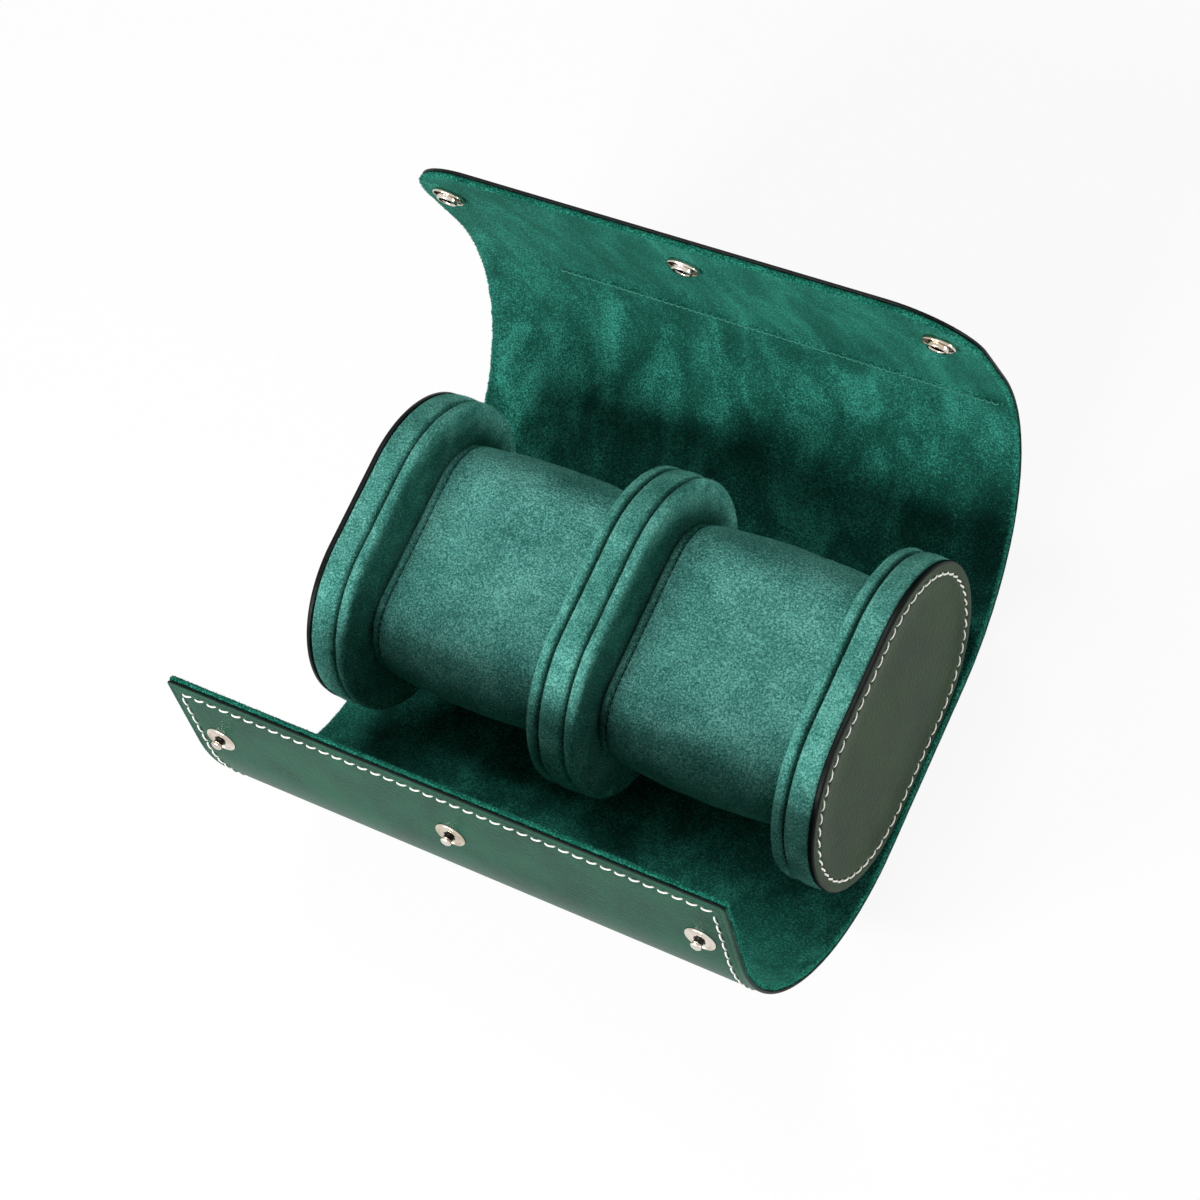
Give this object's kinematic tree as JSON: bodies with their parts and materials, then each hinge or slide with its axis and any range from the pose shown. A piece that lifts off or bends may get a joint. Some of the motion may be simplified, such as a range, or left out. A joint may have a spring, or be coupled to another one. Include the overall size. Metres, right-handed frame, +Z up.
{
  "type": "watch roll",
  "caption": "Soft leather travel roll lined in suede, laid open round a spool of padded discs and watch pillows, with a snap closure on its flap.",
  "frame": {"origin": "middle of the flat underside of the base, midway along the wrap's width", "axes": "+X along the roll towards the end that the spool sits nearer to, +Y towards the back flap with the snap sockets, +Z up"},
  "size_m": [0.192, 0.1905, 0.1274],
  "materials": {
    "leather": "smooth dark green leather with a fine grain",
    "suede": "brushed green microsuede",
    "foam": "soft foam",
    "core_board": "dense foam board",
    "snap_metal": "nickel-plated brass"
  },
  "bodies": {
    "base": {"base_leather": "leather", "base_padding": "foam", "base_lining": "suede", "left_cap": "leather", "left_disc_band": "suede", "left_disc_core": "core_board", "left_cheek_skin": "suede", "left_cheek_foam": "foam", "divider_band": "suede", "divider_core": "core_board", "divider_left_cheek_skin": "suede", "divider_left_cheek_foam": "foam", "divider_right_cheek_skin": "suede", "divider_right_cheek_foam": "foam", "right_cheek_skin": "suede", "right_cheek_foam": "foam", "right_disc_band": "suede", "right_disc_core": "core_board", "right_cap": "leather"},
    "front_low": {"front_low_leather": "leather", "front_low_padding": "foam", "front_low_lining": "suede"},
    "front_high": {"front_high_leather": "leather", "front_high_padding": "foam", "front_high_lining": "suede"},
    "front_strip": {"front_strip_leather": "leather", "front_strip_padding": "foam", "front_strip_lining": "suede", "snap_studs": "snap_metal", "snap_rivets": "snap_metal"},
    "back_low": {"back_low_leather": "leather", "back_low_padding": "foam", "back_low_lining": "suede"},
    "back_middle": {"back_middle_leather": "leather", "back_middle_padding": "foam", "back_middle_lining": "suede"},
    "back_high": {"back_high_leather": "leather", "back_high_padding": "foam", "back_high_lining": "suede"},
    "back_strip": {"back_strip_leather": "leather", "back_strip_padding": "foam", "back_strip_lining": "suede", "snap_sockets": "snap_metal", "snap_caps": "snap_metal"},
    "left_pillow": {"left_pillow_sleeve": "suede", "left_pillow_foam": "foam", "left_pillow_ends": "suede"},
    "right_pillow": {"right_pillow_sleeve": "suede", "right_pillow_foam": "foam", "right_pillow_ends": "suede"}
  },
  "joints": [
    {"name": "front_fold", "type": "hinge", "parent": "base", "child": "front_low", "pos_m": [0, -0.028, 0.003], "axis": [-1, 0, 0], "range_deg": [-8, 25.66]},
    {"name": "front_roll", "type": "hinge", "parent": "front_low", "child": "front_high", "pos_m": [0, -0.07472, 0.02629], "axis": [-1, 0, 0], "range_deg": [-9.43, 30.2]},
    {"name": "front_strip_bend", "type": "hinge", "parent": "front_high", "child": "front_strip", "pos_m": [0, -0.08423, 0.07762], "axis": [-1, 0, 0], "range_deg": [-6.09, 19.48]},
    {"name": "back_fold", "type": "hinge", "parent": "base", "child": "back_low", "pos_m": [0, 0.028, 0.003], "axis": [1, 0, 0], "range_deg": [-8, 28.45]},
    {"name": "back_roll_low", "type": "hinge", "parent": "back_low", "child": "back_middle", "pos_m": [0, 0.06509, 0.01364], "axis": [1, 0, 0], "range_deg": [-7.33, 26]},
    {"name": "back_roll_high", "type": "hinge", "parent": "back_middle", "child": "back_high", "pos_m": [0, 0.09092, 0.04231], "axis": [1, 0, 0], "range_deg": [-4.45, 15.77]},
    {"name": "back_strip_bend", "type": "hinge", "parent": "back_high", "child": "back_strip", "pos_m": [0, 0.09762, 0.08032], "axis": [1, 0, 0], "range_deg": [-3.54, 12.53]},
    {"name": "left_pillow_lift", "type": "slide", "parent": "base", "child": "left_pillow", "axis": [0, 0, 1], "range_m": [0, 0.012]},
    {"name": "right_pillow_lift", "type": "slide", "parent": "base", "child": "right_pillow", "axis": [0, 0, 1], "range_m": [0, 0.012]}
  ],
  "couplings": [
    {"joint": "front_roll", "follows": "front_fold", "ratio": 1.1762},
    {"joint": "front_strip_bend", "follows": "front_fold", "ratio": 0.75838},
    {"joint": "back_roll_low", "follows": "back_fold", "ratio": 0.91318},
    {"joint": "back_roll_high", "follows": "back_fold", "ratio": 0.5536},
    {"joint": "back_strip_bend", "follows": "back_fold", "ratio": 0.43972}
  ]
}
